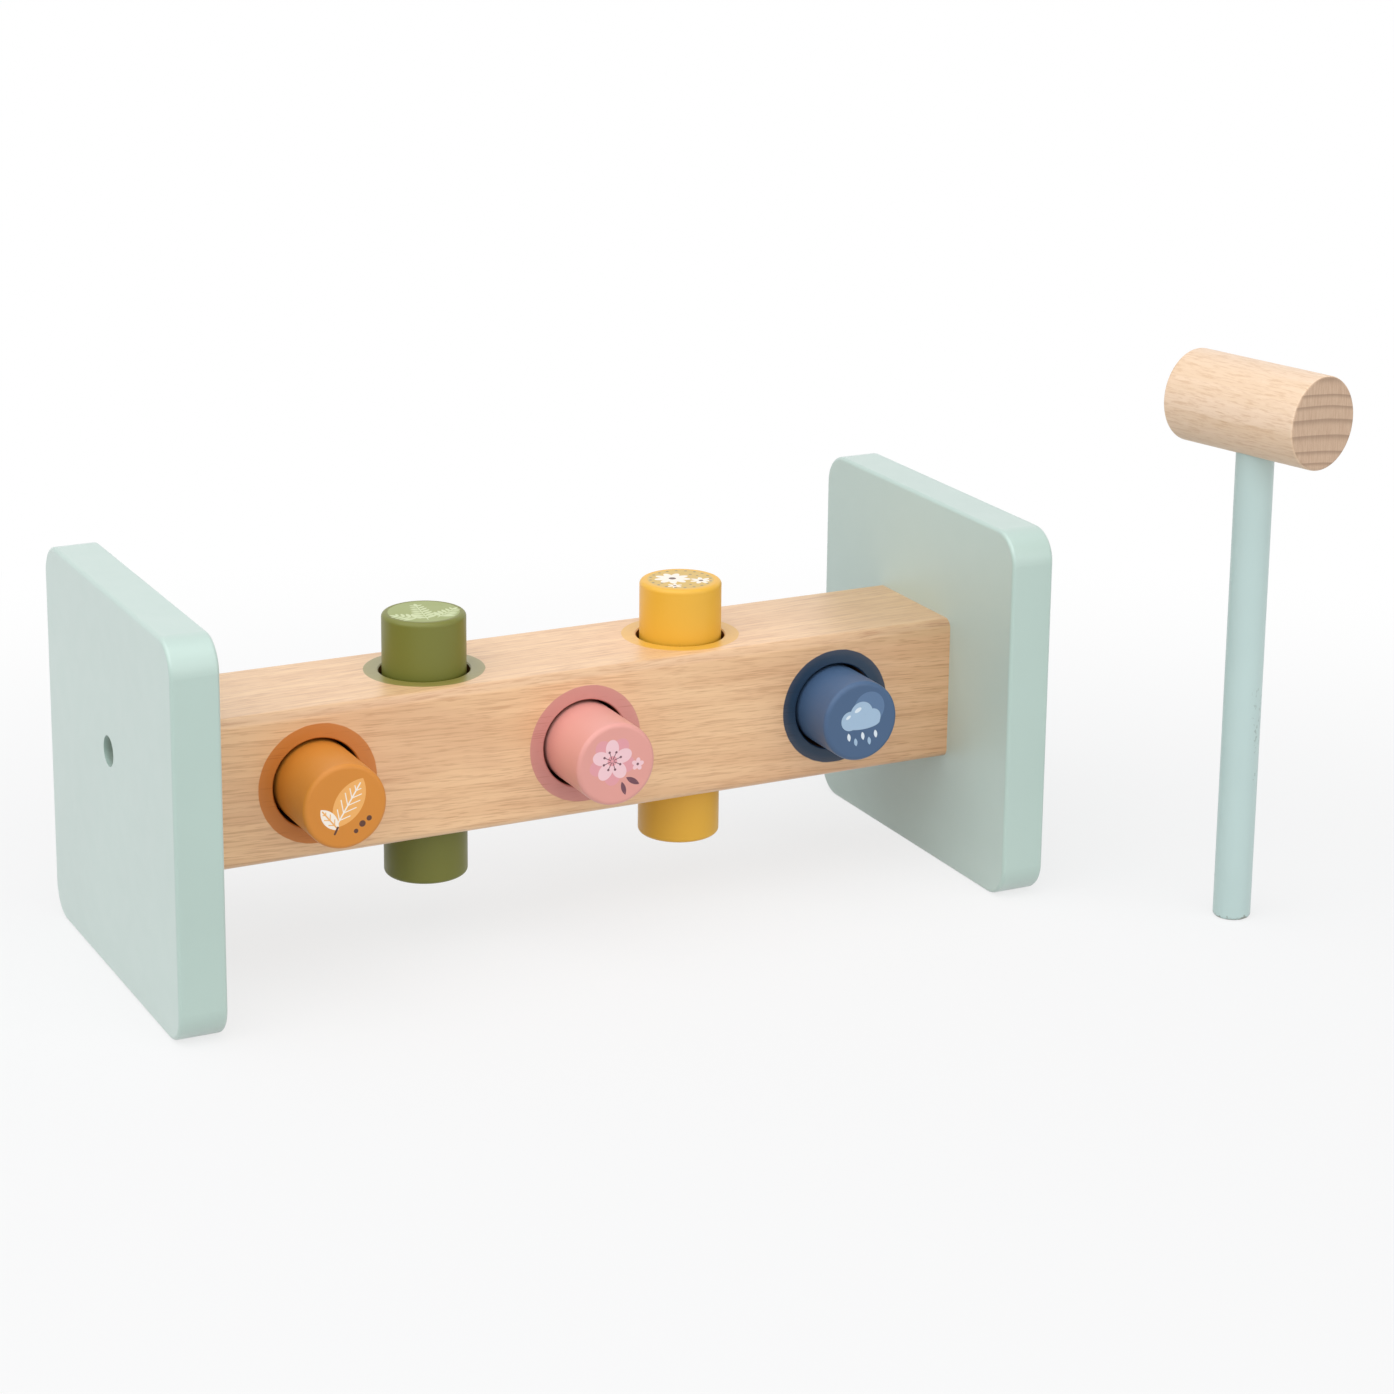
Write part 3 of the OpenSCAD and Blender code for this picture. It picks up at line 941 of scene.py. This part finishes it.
def bare_beech(name, origin, turn, ring_centre, half_length):
    """Fine-sanded beech with its grain along X, and end grain at both ends."""
    material, t, sockets = new_material(name)
    grain = t.place(origin, turn)
    figure = t.use(BEECH_FIGURE, {"Position": grain, "Ring Centre": ring_centre, **BARE_GRAIN})
    side = beech_shade(t, figure, **BARE_TONES)
    rays = t.noise(t.stretch(grain, RAY_SIZE), detail=3.0, roughness=0.65)
    pores = t.cells(t.stretch(grain, PORE_SIZE))["Distance"]
    end = t.mix(t.fade(rays, *RAY_SPREAD), END_GRAIN, END_RAY)
    end = t.mix(t.fade(pores, *PORE_EDGE), end, END_LINE)
    end = t.mix(t.math("MULTIPLY", figure["Growth"], END_LINE_SHARE), end, END_LINE)
    out = t.math("ABSOLUTE", t.split(grain)["X"])
    start, full = (half_length - depth for depth in END_BLEND)
    at_end = t.fade(out, start, full)
    t.put_all(sockets, {
        "Base Color": t.mix(at_end, side, end),
        "Roughness": t.fade(figure["Fibres"], *WIDE_SPREAD, *BARE_ROUGHNESS),
        "Sheen Weight": 0.2,
        "Sheen Roughness": 0.5,
        "Normal": t.relief(figure["Height"], BARE_RELIEF),
    })
    return material


# Metal and rubber, with the sizes of their patterns and their relief in millimetres

ZINC_DARK = srgb(150, 152, 150)
ZINC_LIGHT = srgb(196, 197, 194)
ZINC_ROUGHNESS = (0.28, 0.44)
TURNING_SIZE = (0.12, 0.9, 0.9)
RUBBER_BLACK = srgb(26, 26, 27)
RUBBER_BLOOM = srgb(48, 48, 48)
RUBBER_ROUGHNESS = (0.55, 0.72)
BLOOM_SIZE = 2.0
BLOOM_EDGE = (0.4, 0.7)
RUBBER_GRIT_SIZE = 0.2
FINE_RELIEF = 0.01


def zinc_plated():
    """The screws: zinc-plated steel with fine turning marks round their axes."""
    material, t, sockets = new_material("zinc_plated_steel")
    seen = t.place(BEAM_MIDDLE)
    turning = t.noise(t.stretch(seen, TURNING_SIZE), detail=3.0)
    t.put_all(sockets, {
        "Base Color": t.mix(turning, ZINC_DARK, ZINC_LIGHT),
        "Metallic": 1.0,
        "Roughness": t.fade(turning, *NOISE_SPREAD, *ZINC_ROUGHNESS),
        "Normal": t.relief(t.math("MULTIPLY", turning, FINE_RELIEF)),
    })
    return material


def black_rubber():
    """The grip rings: black rubber with a faint bloom."""
    material, t, sockets = new_material("black_rubber")
    seen = t.place(BEAM_MIDDLE)
    bloom = t.noise(t.stretch(seen, BLOOM_SIZE), detail=3.0)
    grit = t.noise(t.stretch(seen, RUBBER_GRIT_SIZE))
    t.put_all(sockets, {
        "Base Color": t.mix(t.fade(bloom, *BLOOM_EDGE), RUBBER_BLACK, RUBBER_BLOOM),
        "Roughness": t.fade(bloom, *NOISE_SPREAD, *RUBBER_ROUGHNESS),
        "Normal": t.relief(t.math("MULTIPLY", grit, FINE_RELIEF)),
    })
    return material


# Every CAD node gets its finish

def dress(node, material):
    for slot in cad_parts[node].material_slots:
        slot.material = material


def dress_peg(colour, look):
    """Paints a peg and prints its front end, or the top end of an upright peg."""
    peg = colour + "_peg"
    low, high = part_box(peg)
    centre = middle(peg)
    if colour in LEVEL_PEGS:
        origin = Vector((centre.x, low.y, centre.z))
        turn = (math.radians(-90), 0.0, 0.0)
    else:
        origin = Vector((centre.x, centre.y, high.z))
        turn = NO_TURN
    lay = printed_end(look["print"], origin, turn)
    finish = {**SATIN_FINISH, "Coat Weight": look["coat"]}
    dress(peg, painted(colour + "_satin", look["paint"], centre, lay, finish))


def dress_all():
    for name, side in (("left", -1), ("right", 1)):
        board = name + "_board"
        lay = shade_in_recess(name, side)
        dress(board, painted(name + "_mint", MINT, middle(board), lay, BOARD_FINISH))
    handle = painted("handle_lit_mint", HANDLE_LIT_MINT, HANDLE_MIDDLE, handle_wear, HANDLE_FINISH)
    dress("mallet_handle", handle)
    for colour, look in PEGS.items():
        dress_peg(colour, look)
    dress("beam", lacquered_beech())
    head = middle("mallet_head")
    dress("mallet_head", bare_beech("bare_beech", head, HEAD_TURN, HEAD_RINGS, HEAD_HALF_LENGTH))
    steel, rubber = zinc_plated(), black_rubber()
    dowel_half = size("left_upper_dowel").x / 2
    for name in ("left", "right"):
        dress(name + "_screw", steel)
        for level in ("upper", "lower"):
            dowel = f"{name}_{level}_dowel"
            wood = bare_beech(dowel + "_beech", middle(dowel), NO_TURN, DOWEL_RINGS, dowel_half)
            dress(dowel, wood)
    for colour in PEGS:
        dress(colour + "_grip_ring", rubber)


# Floor and backdrop: sizes in metres, tones and strengths

FLOOR_HALF = 6.0
FLOOR_BOUNCE = (0.60, 0.60, 0.60, 1.0)
FLOOR_SHADE = (0.71, 0.71, 0.71, 1.0)
SHADOW_SHARE = 0.26
SHADOW_MIDDLE = (-0.10, -0.22, 0.0)
SHADOW_REACH = (0.34, 0.62)
SKY_TINT = (0.97, 0.98, 1.0, 1.0)
SKY_STRENGTH = 0.47


def seen_directly(t):
    """1 for rays that show white: to the camera, in a reflection or through glass."""
    path = t.add("LightPath").outputs
    gloss_or_glass = t.math("MAXIMUM", path["Is Glossy Ray"], path["Is Transmission Ray"])
    return t.math("MAXIMUM", path["Is Camera Ray"], gloss_or_glass)


def add_floor():
    """A floor that shows white, with a share of its real shade and shadows round the bench."""
    mesh = bpy.data.meshes.new("floor")
    corners = [(-1, -1), (1, -1), (1, 1), (-1, 1)]
    places = [(x * FLOOR_HALF, y * FLOOR_HALF, 0.0) for x, y in corners]
    mesh.from_pydata(places, [], [(0, 1, 2, 3)])
    floor = bpy.data.objects.new("floor", mesh)
    bpy.context.scene.collection.objects.link(floor)
    material, t, sockets = new_material("pale_floor")
    t.put_all(sockets, {
        "Base Color": t.mix(seen_directly(t), FLOOR_BOUNCE, FLOOR_SHADE),
        "Roughness": 0.9,
        "Specular IOR Level": 0.0,
    })
    away = t.vector("DISTANCE", t.add("TexCoord").outputs["Object"], SHADOW_MIDDLE)
    shadow = t.math("MULTIPLY", t.fade(away, *SHADOW_REACH, 1.0, 0.0), SHADOW_SHARE)
    lit = t.math("MULTIPLY", seen_directly(t), t.math("SUBTRACT", 1.0, shadow))
    glow = t.add("Emission", {"Color": WHITE, "Strength": 1.0})
    both = t.add("MixShader", {"Fac": lit})
    shader, end = t.nodes["Principled BSDF"], t.nodes["Material Output"]
    t.links.new(shader.outputs["BSDF"], both.inputs[1])
    t.links.new(glow.outputs["Emission"], both.inputs[2])
    t.links.new(both.outputs["Shader"], end.inputs["Surface"])
    mesh.materials.append(material)


def add_backdrop():
    """A backdrop that shows white, and lights the bench with a soft sky."""
    world = bpy.data.worlds.new("white_studio")
    world.use_nodes = True
    t = Tree(world.node_tree)
    white, end = t.nodes["Background"], t.nodes["World Output"]
    t.put_all(white.inputs, {"Color": WHITE, "Strength": 1.0})
    sky = t.add("Background", {"Color": SKY_TINT, "Strength": SKY_STRENGTH})
    both = t.add("MixShader", {"Fac": seen_directly(t)})
    t.links.new(sky.outputs["Background"], both.inputs[1])
    t.links.new(white.outputs["Background"], both.inputs[2])
    t.links.new(both.outputs["Shader"], end.inputs["Surface"])
    bpy.context.scene.world = world


# Softboxes, in metres and watts, and what they shine at, from the floor under the beam's middle

LAMP_TARGET = Vector((0.05, 0.0, 0.05))
SOFTBOXES = {
    "high_left": {
        "place": (-0.64, -0.44, 1.40), "side": 2.5, "watts": 30.0, "tint": (0.97, 0.98, 1.0),
    },
    "front": {
        "place": (0.70, -1.78, 0.30), "side": 2.1, "watts": 13.8, "tint": (1.0, 0.99, 0.98),
    },
}


def add_softbox(name, place, side, watts, tint):
    data = bpy.data.lights.new(name, "AREA")
    data.shape = "SQUARE"
    data.size = side
    data.energy = watts
    data.color = tint
    lamp = bpy.data.objects.new(name, data)
    lamp.location = UNDER_BEAM + Vector(place)
    lamp.rotation_mode = "QUATERNION"
    lamp.rotation_quaternion = (LAMP_TARGET - Vector(place)).to_track_quat("-Z", "Y")
    bpy.context.scene.collection.objects.link(lamp)


def add_light():
    for name, look in SOFTBOXES.items():
        add_softbox(name, **look)


add_camera()
add_backdrop()
add_floor()
add_light()
dress_all()
bpy.context.scene.view_settings.view_transform = "Standard"
